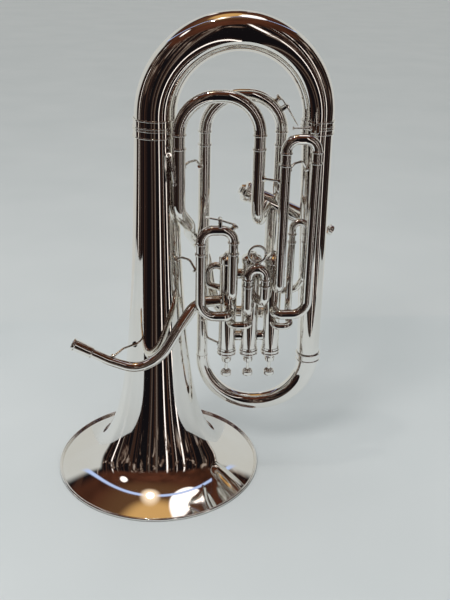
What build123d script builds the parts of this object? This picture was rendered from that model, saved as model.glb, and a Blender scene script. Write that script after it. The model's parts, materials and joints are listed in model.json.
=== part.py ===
from build123d import *
from collections import namedtuple
from math import cos, hypot, radians, sin, tan
import os

# Compensating euphonium, standing upside down on its bell.
# Millimetres. Origin at the centre of the bell rim, +Z up the bell axis, +X towards the
# small branch, -Y towards the side with the valve slides.

# ---- driving dimensions -------------------------------------------------------------
BELL_RIM_R = 152.4          # a 12 inch bell
BELL_LENGTH = 512.0
FLARE_OFFSET = 18.0         # horn law: r = rim * (offset / (z + offset)) ** power
FLARE_POWER = 0.498
RIM_SLOPE = -2.7            # change of radius per height at the rim
FLARE_JOIN_Z = 34.0         # below this the flare opens less steeply than the horn law
BELL_WALL = 0.8
RIM_WIRE_R = 2.0
BODY_WALL = 0.8             # bows and branch

BIG_BOW_X = 213.6           # centre distance between bell and outer branch at the bow
BIG_BOW_END_Z = 520.0
BIG_BOW_R = BIG_BOW_X / 2
BIG_BOW_TOP_Z = 638.9       # centre line
BIG_BOW_START_R, BIG_BOW_END_R = 28.1, 20.6
BRANCH_FOOT = (222.6, 0.0, 178.0)
BRANCH_FOOT_R = 15.9
SMALL_LEG = (65.2, 12.0)    # x, y of the small leg that rises from the top bow
SMALL_BOW_END_Z = 176.0
SMALL_BOW_END_R = 8.9

Tube = namedtuple("Tube", "bore inner outer")
MAIN = Tube(7.35, 7.85, 8.40)       # bore, slide leg, outer leg radii
VALVE = Tube(5.90, 6.40, 6.95)
COMP = Tube(4.05, 4.45, 4.95)
SLIDE_CLEARANCE = 0.05
RING_RISE = 1.1             # how far a ferrule ring stands above its tube
RING_LENGTH = 3.0

VALVE_XY = [(99.0, -20.0), (130.5, -20.0), (162.0, -20.0)]
VALVE_FOOT_Z = 163.3
CASING_RS = [12.4, 12.4, 12.4, 13.5]
CASING_WALL = 1.0
PISTON_GAP = 0.05
PISTON_WALL = 1.0
BUTTON_FACE = -5.3          # heights along a valve from its foot
CAP_END = 17.5
CASING_START = 35.0
PISTON_START = 36.0
LONG_CASING_END, LONG_PISTON = 177.0, 106.0
SHORT_CASING_END, SHORT_PISTON = 135.0, 64.0
BOTTOM_CAP_RISE = 10.0
STROKE = 15.5
PEARL_R = 5.6
SIDE_VALVE_FOOT = (248.8, 39.0, 361.8)
SIDE_VALVE_END = (121.4, 39.0, 420.9)

SLIDE_Y = -47.0             # plane of the three front slides
COMP_LEGS = [(184.0, -25.0), (203.5, -25.0)]
os.makedirs("parts", exist_ok=True)


# ---- helpers ------------------------------------------------------------------------
def keep(name, builder):
    builder.part.label = name
    export_step(builder.part, f"parts/{name}.step")


def post(x, y, low, high, radius):
    """A plain upright cylinder, used to trim what meets a round tube."""
    with BuildPart() as cylinder:
        with BuildSketch(Plane.XY.offset(low)):
            with Locations((x, y)):
                Circle(radius)
        extrude(amount=high - low)
    return cylinder.part


def bent_tube(points, bends, outer, bore, trims=()):
    """Straight runs joined by tangent arcs, hollow, trimmed where it meets others."""
    with BuildPart() as tube:
        with BuildLine() as route:
            if bends:
                FilletPolyline(*points, radius=bends)
            else:
                Line(*points)
        with BuildSketch(Plane(origin=route.line @ 0, z_dir=route.line % 0)):
            Circle(outer)
            if bore:
                Circle(bore, mode=Mode.SUBTRACT)
        sweep()
        for trim in trims:
            add(trim, mode=Mode.SUBTRACT)
    return tube


def natural_bends(points, largest):
    """Bend radii as large as the runs beside each corner allow."""
    corners = [Vector(*point) for point in points]
    bends = []
    for before, corner, after in zip(corners, corners[1:], corners[2:]):
        runs = (corner - before, after - corner)
        shorter = min(run.length for run in runs)
        turn = radians(runs[0].get_angle(runs[1]))
        bends.append(min(largest, 0.45 * shorter / tan(turn / 2)))
    return bends


def section_plane(route, at):
    along = route.line % at
    across = Vector(0, 1, 0) - along * along.Y
    return Plane(origin=route.line @ at, z_dir=along, x_dir=across)


def tapered_tube(points, bends, radius_at, wall, count):
    """A conical tube lofted through circles along a filleted route."""
    with BuildLine() as route:
        FilletPolyline(*points, radius=bends)
    with BuildPart() as tube:
        for inset, mode in ((0, Mode.ADD), (wall, Mode.SUBTRACT)):
            for k in range(count):
                at = k / (count - 1)
                with BuildSketch(section_plane(route, at)):
                    Circle(radius_at(at) - inset)
            loft(mode=mode)
    return tube


def turned(plane, outline):
    """Revolve a closed (radius, height) outline about the plane's normal."""
    with BuildPart() as piece:
        section = Plane(origin=plane.origin, x_dir=plane.x_dir, z_dir=-plane.y_dir)
        with BuildSketch(section):
            with BuildLine():
                Polyline(*outline, close=True)
            make_face()
        revolve(axis=Axis(plane.origin, plane.z_dir))
    return piece


def ring(centre, along, inner, rise, length):
    with BuildPart() as band:
        with BuildSketch(Plane(origin=centre, z_dir=along)):
            Circle(inner + rise)
            Circle(inner, mode=Mode.SUBTRACT)
        extrude(amount=length / 2, both=True)
        fillet(band.edges().filter_by(GeomType.CIRCLE).group_by(SortBy.RADIUS)[-1], 0.45)
    return band.part


def group(name, pieces):
    with BuildPart() as together:
        for piece in pieces:
            add(piece)
    keep(name, together)


def rod(points, bends, radius, trims=(), flange=4.2):
    """A round brace with a small foot at each end, trimmed to the tubes it joins."""
    with BuildPart() as brace:
        with BuildLine() as route:
            if bends:
                FilletPolyline(*points, radius=bends)
            else:
                Line(*points)
        with BuildSketch(Plane(origin=route.line @ 0, z_dir=route.line % 0)):
            Circle(radius)
        sweep()
        for at, sense in ((0, 1), (1, -1)):
            foot = Plane(origin=route.line @ at, z_dir=(route.line % at) * sense)
            with BuildSketch(foot.offset(-1.0)):
                Circle(flange)
            extrude(amount=2.2)
        for trim in trims:
            add(trim, mode=Mode.SUBTRACT)
    return brace.part.solids().sort_by(SortBy.VOLUME)[-1]


def beside(axis_xy, radius, toward_xy, z):
    """The point on an upright tube's wall that faces another tube."""
    dx, dy = toward_xy[0] - axis_xy[0], toward_xy[1] - axis_xy[1]
    reach = radius / hypot(dx, dy)
    return (axis_xy[0] + dx * reach, axis_xy[1] + dy * reach, z)


def ferrule(centre, along, radius_low, radius_high, length, double=False):
    """A garland sleeve with a bead at each end, and a double bead when asked."""
    plane = Plane(origin=centre, z_dir=along)
    half = length / 2
    sleeve = turned(plane, [(radius_low + 0.05, -half), (radius_low + 0.75, -half),
                            (radius_high + 0.75, half), (radius_high + 0.05, half)])
    middle = (radius_low + radius_high) / 2
    beads = [(-half + 1, radius_low), (half - 1, radius_high)]
    if double:
        beads += [(-1.6, middle), (1.6, middle)]
    with BuildPart() as band:
        add(sleeve.part)
        for height, radius in beads:
            spot = plane.origin + plane.z_dir * height
            add(ring(spot, along, radius + 0.4, 1.5, 2.0))
    return band


# ---- bell, bows and branch ----------------------------------------------------------
def horn_law(height):
    return BELL_RIM_R * (FLARE_OFFSET / (height + FLARE_OFFSET)) ** FLARE_POWER


def bell_radius(height):
    """The horn law, with a smooth cubic from its join down to the rim."""
    if height >= FLARE_JOIN_Z:
        return horn_law(height)
    join_r = horn_law(FLARE_JOIN_Z)
    join_slope = -FLARE_POWER * join_r / (FLARE_JOIN_Z + FLARE_OFFSET)
    t = height / FLARE_JOIN_Z
    blend = t * t * (3 - 2 * t)
    from_rim = RIM_SLOPE * FLARE_JOIN_Z * t * (1 - t) ** 2
    from_join = join_slope * FLARE_JOIN_Z * t * t * (t - 1)
    return BELL_RIM_R + (join_r - BELL_RIM_R) * blend + from_rim + from_join


# Heights crowd towards the rim, where the flare turns fastest.
flare_heights = [BELL_LENGTH * (k / 13) ** 2.6 for k in range(14)]
outer_line = [(bell_radius(z), z) for z in flare_heights]
inner_line = [(bell_radius(z + BELL_WALL) - BELL_WALL, z) for z in flare_heights]

with BuildPart() as bell:
    with BuildSketch(Plane.XZ):
        with BuildLine():
            Spline(*outer_line)
            Spline(*inner_line)
            Line(outer_line[0], inner_line[0])
            Line(outer_line[-1], inner_line[-1])
        make_face()
    revolve(axis=Axis.Z)
keep("bell", bell)

with BuildPart() as bell_body:
    with BuildSketch(Plane.XZ):
        with BuildLine():
            Spline(*outer_line)
            Polyline(outer_line[-1], (0, BELL_LENGTH), (0, 0), outer_line[0])
        make_face()
    revolve(axis=Axis.Z)
bell_solid = bell_body.part

with BuildPart() as bell_rim_wire:
    with BuildSketch(Plane.XZ):
        with Locations((BELL_RIM_R - RIM_WIRE_R, RIM_WIRE_R)):
            Circle(RIM_WIRE_R)
    revolve(axis=Axis.Z)
    add(bell_solid, mode=Mode.SUBTRACT)
keep("bell_rim_wire", bell_rim_wire)

bottom_bow = tapered_tube(
    [(0, 0, BELL_LENGTH), (0, 0, BIG_BOW_TOP_Z), (BIG_BOW_X, 0, BIG_BOW_TOP_Z),
     (BIG_BOW_X, 0, BIG_BOW_END_Z)], BIG_BOW_R - 0.05,
    lambda at: BIG_BOW_START_R + (BIG_BOW_END_R - BIG_BOW_START_R) * at ** 1.15,
    BODY_WALL, 19)
keep("bottom_bow", bottom_bow)

branch_top = Vector(BIG_BOW_X, 0, BIG_BOW_END_Z - 0.6)
branch_foot = Vector(*BRANCH_FOOT)
branch_dir = (branch_foot - branch_top).normalized()


def branch_radius(at):
    return BIG_BOW_END_R + (BRANCH_FOOT_R - BIG_BOW_END_R) * at ** 1.25


with BuildPart() as outer_branch:
    for inset, mode in ((0, Mode.ADD), (BODY_WALL, Mode.SUBTRACT)):
        for k in range(5):
            spot = branch_top + (branch_foot - branch_top) * (k / 4)
            with BuildSketch(Plane(origin=spot, z_dir=branch_dir, x_dir=(0, 1, 0))):
                Circle(branch_radius(k / 4) - inset)
        loft(mode=mode)
keep("outer_branch", outer_branch)

# The top bow lies in a plane turned a little, because the small leg stands further back.
small_end = Vector(*SMALL_LEG, SMALL_BOW_END_Z)
big_end = branch_foot - Vector(0, 0, 0.5)
bow_span = Vector(small_end.X - big_end.X, small_end.Y - big_end.Y, 0)
bow_half = bow_span.length / 2
bow_low_z = SMALL_BOW_END_Z - bow_half
top_bow = tapered_tube(
    [big_end, (big_end.X, big_end.Y, bow_low_z), (small_end.X, small_end.Y, bow_low_z),
     small_end], bow_half - 0.05,
    lambda at: BRANCH_FOOT_R + (SMALL_BOW_END_R - BRANCH_FOOT_R) * at, BODY_WALL, 19)
keep("top_bow", top_bow)

keep("bell_bow_ferrule", ferrule((0, 0, 518), (0, 0, 1), 28.6, 28.2, 24, double=True))
keep("bow_branch_ferrule", ferrule((BIG_BOW_X, 0, BIG_BOW_END_Z), (0, 0, 1), 21.0, 21.0,
                                   18, double=True))
keep("top_bow_ferrule", ferrule(branch_foot, branch_dir, 16.4, 16.3, 12))

# ---- valves -------------------------------------------------------------------------
side_dir = (Vector(*SIDE_VALVE_END) - Vector(*SIDE_VALVE_FOOT)).normalized()
VALVE_PLANES = [Plane(origin=(x, y, VALVE_FOOT_Z), z_dir=(0, 0, 1), x_dir=(1, 0, 0))
                for x, y in VALVE_XY]
VALVE_PLANES.append(Plane(origin=SIDE_VALVE_FOOT, z_dir=side_dir, x_dir=(0, -1, 0)))
CASING_ENDS = [LONG_CASING_END] * 3 + [SHORT_CASING_END]
PISTONS = [LONG_PISTON] * 3 + [SHORT_PISTON]


def valve_column(number, radius, low=0.0, high=240.0):
    """A solid cylinder on a valve's axis, used to trim the tubes that meet a casing."""
    with BuildPart() as column:
        with BuildSketch(VALVE_PLANES[number - 1].offset(low)):
            Circle(radius)
        extrude(amount=high - low)
    return column.part


COLUMNS = [valve_column(number, CASING_RS[number - 1]) for number in (1, 2, 3, 4)]
PORT_DEPTH = 0.8            # how far a route starts inside the casing's wall


def port(number, x, y, z):
    """The point on an upright casing's wall that faces the place (x, y)."""
    ax, ay = VALVE_XY[number - 1]
    reach = hypot(x - ax, y - ay)
    depth = CASING_RS[number - 1] - PORT_DEPTH
    return (ax + (x - ax) * depth / reach, ay + (y - ay) * depth / reach, z)


def on_side_valve(x):
    """The point of the fourth valve's axis that stands over the given x."""
    origin = Vector(*SIDE_VALVE_FOOT)
    return origin + side_dir * ((x - origin.X) / side_dir.X)


def side_port(x, start):
    """The point on the fourth casing's wall, on the way from start to its axis."""
    axis_point = on_side_valve(x)
    away = (Vector(*start) - axis_point).normalized()
    lean = away.dot(side_dir)
    depth = CASING_RS[3] - PORT_DEPTH
    return axis_point + away * (depth / (1 - lean * lean) ** 0.5)


# ---- tube routes: outer legs, each starting at the casing or tube it is soldered to ---
front_left_1 = [port(1, 101, SLIDE_Y, 265), (101, SLIDE_Y, 265), (58.5, SLIDE_Y, 265),
                (58.5, SLIDE_Y, 359)]
front_right_1 = [port(1, 102, SLIDE_Y, 294), (102, SLIDE_Y, 294), (102, SLIDE_Y, 360)]
front_left_2 = [port(2, 123.4, SLIDE_Y, 270), (123.4, SLIDE_Y, 270), (123.4, SLIDE_Y, 312)]
front_right_2 = [port(2, 147, SLIDE_Y, 285), (147, SLIDE_Y, 285), (147, SLIDE_Y, 312)]
front_left_3 = [port(3, 166.5, SLIDE_Y, 304), (166.5, SLIDE_Y, 304),
                (166.5, SLIDE_Y, 481)]
front_right_3 = [port(3, 164.5, SLIDE_Y, 267), (164.5, SLIDE_Y, 267),
                 (206, SLIDE_Y, 267), (206, SLIDE_Y, 484)]
comp_left = [port(3, 165, -44, 247), (165, -44, 247), (186, -44, 247),
             (*COMP_LEGS[0], 254), (*COMP_LEGS[0], 367.5)]
comp_right = [port(3, 196, -11, 290), (196, -11, 290), (*COMP_LEGS[1], 312),
              (*COMP_LEGS[1], 367.5)]

main_right_start = (168, 12, 430)
main_right = [side_port(176, main_right_start), main_right_start, (168, 12, 493.5)]
fourth_right_knee = (136, -24, 392)
fourth_right = [side_port(157, fourth_right_knee), fourth_right_knee,
                (134, -28, 424), (134, -28, 497)]
fourth_left = [port(3, 160, 30, 242), (160, 13, 242), (88, 20, 244), (76, 33, 280),
               (70, 38, 322), (55, 31, 350), (46, 11, 368), (44, -10, 386),
               (29.7, -28, 410), (29.7, -28, 497)]
fourth_link = [port(3, 163, 34, 292), (163, 33, 292), (163, 33, 392)]


def leg(points, bends, size):
    return bent_tube(points, bends, size.outer, size.inner + SLIDE_CLEARANCE, COLUMNS).part


group("first_slide_legs", [leg(front_left_1, [9, 22], VALVE), leg(front_right_1, [9], VALVE)])
group("second_slide_legs", [leg(front_left_2, [9], VALVE), leg(front_right_2, [9], VALVE)])
group("third_slide_legs", [leg(front_left_3, [9], VALVE), leg(front_right_3, [9, 20], VALVE)])
group("compensating_slide_legs", [leg(route, natural_bends(route, 10), COMP)
                                  for route in (comp_left, comp_right)])
keep("small_leg", bent_tube([(*SMALL_LEG, SMALL_BOW_END_Z + 0.2), (*SMALL_LEG, 493.5)], [],
                            MAIN.outer, MAIN.inner + SLIDE_CLEARANCE))
group("main_slide_leg", [leg(main_right, [16], MAIN)])
group("fourth_slide_valve_leg", [leg(fourth_right, [18, 40], MAIN)])
group("fourth_slide_return_tube", [leg(fourth_left, natural_bends(fourth_left, 26), MAIN)])
group("third_to_fourth_tube", [leg(fourth_link, [13], MAIN)])

# ---- casings, caps, pistons, buttons and springs --------------------------------------
ROUTES = {
    1: [(front_left_1, VALVE), (front_right_1, VALVE)],
    2: [(front_left_2, VALVE), (front_right_2, VALVE)],
    3: [(front_left_3, VALVE), (front_right_3, VALVE), (comp_left, COMP),
        (comp_right, COMP), (fourth_left, MAIN), (fourth_link, MAIN)],
    4: [(main_right, MAIN), (fourth_right, MAIN)],
}
LEADPIPE = [(-102.6, -60, 225), (-66, -62.5, 206.5), (-30, -65, 194), (4, -62.5, 211),
            (28, -51, 248), (54, -30, 279), port(1, 57, -31, 279)]
LEADPIPE_R = (6.3, 8.2)


def port_rod(points, radius):
    """The bore of a tube carried on straight into its casing."""
    start, after = Vector(*points[0]), Vector(*points[1])
    inward = (start - after).normalized()
    with BuildPart() as bore:
        with BuildSketch(Plane(origin=start - inward * 3, z_dir=inward)):
            Circle(radius)
        extrude(amount=7)
    return bore.part


for number in (1, 2, 3, 4):
    plane, end, casing_r = VALVE_PLANES[number - 1], CASING_ENDS[number - 1], CASING_RS[number - 1]
    with BuildPart() as casing:
        with BuildSketch(plane.offset(CASING_START)):
            Circle(casing_r)
            Circle(casing_r - CASING_WALL, mode=Mode.SUBTRACT)
        extrude(amount=end - CASING_START)
        for route, size in ROUTES[number]:
            add(port_rod(route, size.bore), mode=Mode.SUBTRACT)
        if number == 1:
            add(port_rod(LEADPIPE[::-1], LEADPIPE_R[1] - BODY_WALL), mode=Mode.SUBTRACT)
    keep(f"valve_casing_{number}", casing)

    length = PISTONS[number - 1]
    piston_r = casing_r - CASING_WALL - PISTON_GAP
    with BuildPart() as piston:
        with BuildSketch(plane.offset(PISTON_START)):
            Circle(piston_r)
        extrude(amount=length)
        with BuildSketch(plane.offset(PISTON_START + 4)):
            Circle(piston_r - PISTON_WALL)
        extrude(amount=length - 8, mode=Mode.SUBTRACT)
        for route, size in ROUTES[number]:
            add(port_rod(route, size.bore), mode=Mode.SUBTRACT)
    keep(f"piston_{number}", piston)

    keep(f"finger_button_{number}", turned(plane, [
        (0, BUTTON_FACE + 1.1), (PEARL_R, BUTTON_FACE + 1.1), (PEARL_R, BUTTON_FACE + 0.1),
        (6.4, BUTTON_FACE), (7.4, -4.7), (7.9, -3.6), (7.9, 0.6), (7.5, 1.6), (6.9, 1.6),
        (6.4, 0.9), (5.2, -0.9), (3.4, -1.6), (2.6, -0.6), (2.2, 1.2), (2.2, PISTON_START),
        (0, PISTON_START)]))
    keep(f"button_pearl_{number}", turned(plane, [
        (0, BUTTON_FACE - 0.2), (3.2, BUTTON_FACE - 0.1), (5.2, BUTTON_FACE + 0.2),
        (PEARL_R - 0.05, BUTTON_FACE + 0.5), (PEARL_R - 0.05, BUTTON_FACE + 1.08),
        (0, BUTTON_FACE + 1.08)]))
    spring_start = PISTON_START + length + (0 if number < 4 else STROKE + 0.3)
    keep(f"valve_spring_{number}", turned(plane, [
        (9.0, spring_start), (10.6, spring_start), (10.6, end - 1.0), (9.0, end - 1.0)]))


def top_cap(plane, casing_r):
    """A screwed cap: a beaded skirt over the casing, and a cone down to the stem."""
    skirt, bead, inside = casing_r + 0.55, casing_r + 1.3, casing_r - CASING_WALL - 0.1
    fit = casing_r + 0.02
    return turned(plane, [
        (2.9, CAP_END), (6.3, CAP_END), (6.9, 18.3), (8.2, 24.5), (casing_r - 0.8, 29.6),
        (bead, 30.6), (bead, 32.4), (skirt, 33.0), (skirt, 35.0), (bead, 35.6), (bead, 37.4),
        (skirt, 38.2), (skirt, 41.0), (fit, 41.0), (fit, CASING_START - 0.02),
        (inside, CASING_START - 0.02), (inside, 30.5), (6.6, 25.5), (2.9, 24.0)]).part


def bottom_cap(plane, end, casing_r):
    """A screwed end cap with a raised nipple and an air hole."""
    skirt, bead, fit = casing_r + 1.0, casing_r + 1.5, casing_r + 0.02
    plug = casing_r - CASING_WALL - 0.02
    return turned(plane, [
        (2.0, end - 1.0), (plug, end - 1.0), (plug, end + 0.02), (fit, end + 0.02),
        (fit, end - 6.0), (skirt, end - 6.0), (bead, end - 4.6), (bead, end + 1.6),
        (bead - 1.4, end + 3.4), (bead - 5.5, end + 5.4), (bead - 7.6, end + 8.4),
        (bead - 8.2, end + BOTTOM_CAP_RISE), (2.0, end + BOTTOM_CAP_RISE)]).part


group("top_valve_caps", [top_cap(*which) for which in zip(VALVE_PLANES, CASING_RS)])
group("bottom_valve_caps", [bottom_cap(*which) for which in zip(VALVE_PLANES, CASING_ENDS,
                                                                CASING_RS)])

# ---- knuckles between the casings and the compensating loops ----------------------------
KNUCKLE_R, KNUCKLE_WALL = 7.4, 0.6
knuckles = []
for left in (0, 1):
    for height in (222.0, 318.0):
        start, stop = VALVE_XY[left], VALVE_XY[left + 1]
        with BuildPart() as knuckle:
            with BuildSketch(Plane(origin=(start[0] + 8, start[1], height), z_dir=(1, 0, 0))):
                Circle(KNUCKLE_R)
                Circle(KNUCKLE_R - KNUCKLE_WALL, mode=Mode.SUBTRACT)
            extrude(amount=stop[0] - start[0] - 16)
            for column in COLUMNS[left:left + 2]:
                add(column, mode=Mode.SUBTRACT)
        knuckles.extend(knuckle.part.solids())
group("valve_knuckles", knuckles)

front_crossover = [port(1, 104.3, -43.5, 249), (104.3, -43.5, 249), (125.8, -43.5, 249),
                   port(2, 125.8, -43.5, 249)]
first_loop = [port(1, 71, -2, 294), (71, -2, 294), (71, -2, 323.4), (94, -2, 323.4),
              (94, -2, 262), port(1, 94, -2, 262)]
second_loop = [port(2, 126.5, 0, 266), (125.9, 13, 266), (125.9, 13, 326), (136.9, 13, 326),
               (136.9, 13, 302), port(2, 134.5, 0, 302)]
group("compensating_loops", [
    bent_tube(front_crossover, [7.5, 7.5], 5.6, 5.0, COLUMNS).part,
    bent_tube(first_loop, [8, 11.3, 11.3, 6], COMP.outer, COMP.bore, COLUMNS).part,
    bent_tube(second_loop, [6, 5.4, 5.4, 6], COMP.outer, COMP.bore, COLUMNS).part])

# ---- leadpipe and mouthpiece receiver -------------------------------------------------
leadpipe = tapered_tube(LEADPIPE, natural_bends(LEADPIPE, 60),
                        lambda at: LEADPIPE_R[0] + (LEADPIPE_R[1] - LEADPIPE_R[0]) * at,
                        BODY_WALL, 25)
with BuildPart() as trimmed_leadpipe:
    add(leadpipe.part)
    add(COLUMNS[0], mode=Mode.SUBTRACT)
keep("leadpipe", trimmed_leadpipe)

RECEIVER_BORE = 6.35
receiver_dir = (Vector(*LEADPIPE[0]) - Vector(*LEADPIPE[1])).normalized()
receiver_plane = Plane(origin=LEADPIPE[0], z_dir=receiver_dir)
keep("mouthpiece_receiver", turned(receiver_plane, [
    (6.45, -14), (7.3, -14), (7.7, -12), (7.9, -2), (8.2, 0), (8.3, 12), (8.9, 13),
    (9.1, 15), (8.3, 16.4), (RECEIVER_BORE, 16.4), (RECEIVER_BORE, 0.02), (6.75, 0.02),
    (6.75, -12), (6.45, -12)]))

# ---- tuning slides -----------------------------------------------------------------------
slide_end_rings = []
MAIN_BEND, FIRST_BEND = 47.0, 16.5
SECOND_TOP = 342.5


def tuning_slide(xs, y, rings, sleeves, tips, top, bend, size):
    """A bow with a ring at each foot and an inner leg that runs down inside each sleeve.

    rings are the heights of the bow's feet, sleeves those of the outer legs' ends,
    tips those of the inner legs' ends.
    """
    (x1, x2), centre_top = xs, top - size.outer
    bow = [(x1, y, rings[0]), (x1, y, centre_top), (x2, y, centre_top), (x2, y, rings[1])]
    whole = [(x1, y, tips[0]), *bow[1:3], (x2, y, tips[1])]
    with BuildPart() as slide:
        add(bent_tube(bow, [bend, bend], size.outer, 0).part)
        add(bent_tube(whole, [bend, bend], size.inner, 0).part)
        for x, height in zip((x1, x2), rings):
            add(ring((x, y, height), (0, 0, 1), size.inner - 0.3,
                     size.outer - size.inner + 0.3 + RING_RISE, RING_LENGTH))
        add(bent_tube(whole, [bend, bend], size.bore, 0).part, mode=Mode.SUBTRACT)
    for x, height in zip((x1, x2), sleeves):
        slide_end_rings.append(ring((x, y, height - RING_LENGTH / 2), (0, 0, 1),
                                    size.outer + 0.02, RING_RISE, RING_LENGTH))
    return slide


main_slide = tuning_slide((SMALL_LEG[0], 168), 12, (509.6, 509.6),
                          (493.5, 493.5), (432, 452), 565.5, MAIN_BEND, MAIN)
fourth_slide = tuning_slide((29.7, 134), -28, (513.5, 513.5),
                            (497, 497), (442, 432), 570.8, 48.5, MAIN)
first_slide = tuning_slide((58.5, 102), SLIDE_Y, (372, 374), (359, 360),
                           (288, 310), 397.9, FIRST_BEND, VALVE)
second_slide = tuning_slide((123.4, 147), SLIDE_Y, (320, 320), (312, 312),
                            (283, 297), SECOND_TOP, 11.6, VALVE)
third_slide = tuning_slide((166.5, 206), SLIDE_Y, (495, 497), (481, 484),
                           (330, 330), 519.7, 15.5, VALVE)
comp_slide = tuning_slide((COMP_LEGS[0][0], COMP_LEGS[1][0]), COMP_LEGS[0][1], (377.5, 377.5),
                          (367.5, 367.5), (314, 318), 399.5, 9.6, COMP)
for name, slide in (("fourth_slide", fourth_slide), ("third_slide", third_slide),
                    ("compensating_slide", comp_slide)):
    keep(name, slide)

PULL_RING_R, PULL_WIRE_R, PULL_CENTRE = 11.6, 1.9, (134.6, SLIDE_Y, 357.0)
PULL_BOSS_R = 6.6
second_bore = bent_tube([(123.4, SLIDE_Y, 300), (123.4, SLIDE_Y, SECOND_TOP - VALVE.outer),
                         (147, SLIDE_Y, SECOND_TOP - VALVE.outer), (147, SLIDE_Y, 300)],
                        [11.6, 11.6], VALVE.bore, 0)
with BuildPart() as second_slide_with_ring:
    add(second_slide.part)
    with BuildSketch(Plane(origin=PULL_CENTRE, z_dir=(0, 1, 0))):
        Circle(PULL_RING_R + PULL_WIRE_R)
        Circle(PULL_RING_R - PULL_WIRE_R, mode=Mode.SUBTRACT)
    extrude(amount=PULL_WIRE_R, both=True)
    with BuildSketch(Plane.XY.offset(SECOND_TOP - VALVE.outer)):
        with Locations((PULL_CENTRE[0], SLIDE_Y)):
            Circle(PULL_BOSS_R)
    extrude(amount=9.0, taper=18)
    add(second_bore.part, mode=Mode.SUBTRACT)
keep("second_slide", second_slide_with_ring)
group("slide_end_rings", slide_end_rings)

# ---- water keys --------------------------------------------------------------------------
main_corner = Vector(168 - MAIN_BEND, 12, 565.5 - MAIN.outer - MAIN_BEND)


def water_key(name, bow_centre, nipple_angle, surface, pivot, touch, keep_slide):
    """Nipple, pad cup, rocking lever and saddle; returns the slide with its nipple."""
    out = Vector(cos(radians(nipple_angle)), 0, sin(radians(nipple_angle)))
    seat = bow_centre + out * (surface + 4.0)
    nipple = Plane(origin=bow_centre + out * (surface - 0.7), z_dir=out)
    with BuildPart() as slide:
        add(keep_slide.part)
        with BuildSketch(nipple):
            Circle(3.4)
            Circle(2.4, mode=Mode.SUBTRACT)
        extrude(amount=4.7)
    keep(name, slide)
    pad_plane = Plane(origin=seat, z_dir=out)
    pad = turned(pad_plane, [(0, 0.05), (4.2, 0.05), (4.2, 1.9), (0, 1.9)])
    with BuildPart() as lever:
        add(turned(pad_plane, [(4.3, 0.8), (5.2, 0.8), (5.2, 2.6), (3.6, 3.6), (0, 4.0),
                               (0, 1.95), (4.3, 1.95)]).part)
        head = seat + out * 3.0
        arm = [head, pivot, touch]
        for start, stop in zip(arm, arm[1:]):
            run = stop - start
            plane = Plane(origin=start, z_dir=run, x_dir=(0, 1, 0))
            with BuildSketch(plane):
                Rectangle(5.0, 1.8)
            extrude(amount=run.length)
        with BuildSketch(Plane(origin=pivot - Vector(0, 4.4, 0), z_dir=(0, 1, 0))):
            Circle(2.6)
        extrude(amount=8.8)
        with BuildSketch(Plane(origin=touch, z_dir=(touch - pivot).cross(Vector(0, 1, 0)),
                               x_dir=(0, 1, 0))):
            SlotOverall(12, 8)
        extrude(amount=0.9, both=True)
        with BuildSketch(Plane(origin=pivot - Vector(0, 5, 0), z_dir=(0, 1, 0))):
            Circle(1.05)
        extrude(amount=10, mode=Mode.SUBTRACT)
        add(pad.part, mode=Mode.SUBTRACT)
    return pad, lever


def saddle(pivot, foot_dir, drop, trims):
    """Two cheeks on a foot, with the hinge pin through them."""
    across = Vector(0, 1, 0)
    with BuildPart() as body:
        for side in (-1, 1):
            cheek = Plane(origin=pivot + across * (side * 5.4), z_dir=(0, 1, 0))
            with BuildSketch(cheek):
                Circle(2.8)
            extrude(amount=0.7, both=True)
            foot = Plane(origin=pivot + across * (side * 5.4), z_dir=foot_dir, x_dir=(0, 1, 0))
            with BuildSketch(foot):
                Rectangle(1.4, 4.6)
            extrude(amount=drop)
        with BuildSketch(Plane(origin=pivot - across * 6.4, z_dir=(0, 1, 0))):
            Circle(1.0)
        extrude(amount=12.8)
        for trim in trims:
            add(trim, mode=Mode.SUBTRACT)
    return body


def bow_rod(xs, y, top, bend, size):
    """The full round of a slide's bow, for trimming a saddle to it."""
    (x1, x2), height = xs, top - size.outer
    return bent_tube([(x1, y, height - bend - 8), (x1, y, height), (x2, y, height),
                      (x2, y, height - bend - 8)], [bend, bend], size.outer, 0).part


main_pivot = Vector(173, 12, 543.5)
main_touch = Vector(187.5, 12, 520)
pad, lever = water_key("main_tuning_slide", main_corner, 47, MAIN_BEND + MAIN.outer, main_pivot,
                       main_touch, main_slide)
keep("main_water_key_pad", pad)
keep("main_water_key", lever)
inward = (main_corner - main_pivot).normalized()
keep("main_water_key_saddle", saddle(main_pivot, inward, 12.0, [
    bow_rod((SMALL_LEG[0], 168), 12, 565.5, MAIN_BEND, MAIN)]))

first_corner = Vector(102 - FIRST_BEND, SLIDE_Y, 397.9 - VALVE.outer - FIRST_BEND)
first_pivot = Vector(83.5, SLIDE_Y, 405.5)
first_touch = Vector(65.5, SLIDE_Y, 409)
pad, lever = water_key("first_slide", first_corner, 52, FIRST_BEND + VALVE.outer, first_pivot,
                       first_touch, first_slide)
keep("first_water_key_pad", pad)
keep("first_water_key", lever)
keep("first_water_key_saddle", saddle(first_pivot, Vector(0, 0, -1), 10.0, [
    bow_rod((58.5, 102), SLIDE_Y, 397.9, FIRST_BEND, VALVE)]))

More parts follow.
